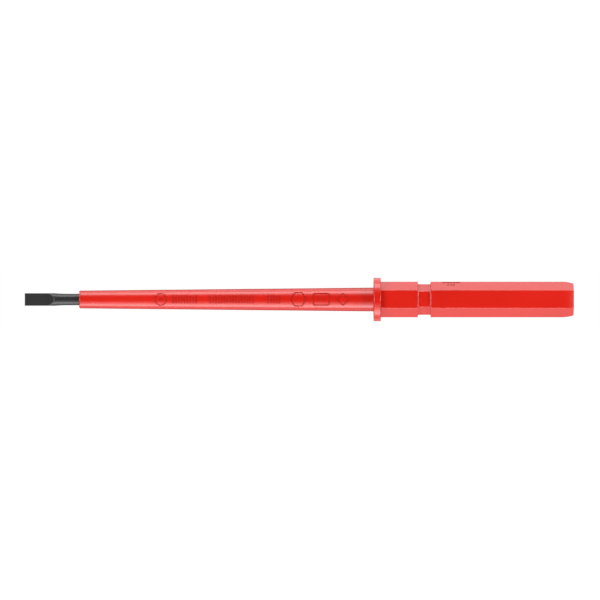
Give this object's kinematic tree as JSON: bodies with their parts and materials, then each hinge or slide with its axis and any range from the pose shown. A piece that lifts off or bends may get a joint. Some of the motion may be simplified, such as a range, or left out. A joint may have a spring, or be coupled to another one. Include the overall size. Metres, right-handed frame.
{
  "type": "insulated screwdriver blade",
  "caption": "Slim insulated screwdriver blade: bare slotted tip, tapered red sleeve on a round steel shaft, round stop collar and a long hexagonal drive shank with a retention groove.",
  "frame": {"origin": "on the blade's axis, in the stop collar's rear face, where the blade seats against a handle", "axes": "+X along the axis from the slotted tip towards the drive shank; +Z normal to the tip's broad face and to one flat of the hexagon; +Y completes the right-handed frame"},
  "size_m": [0.154, 0.0122, 0.0122],
  "materials": {
    "blade_steel": "satin",
    "inner_layer_plastic": "matte",
    "sleeve_plastic": "satin",
    "collar_plastic": "satin",
    "drive_plastic": "satin"
  },
  "bodies": {
    "root": {"blade_core": "blade_steel", "inner_insulation": "inner_layer_plastic", "shaft_sleeve": "sleeve_plastic", "collar": "collar_plastic", "hex_shank": "drive_plastic"}
  },
  "joints": []
}
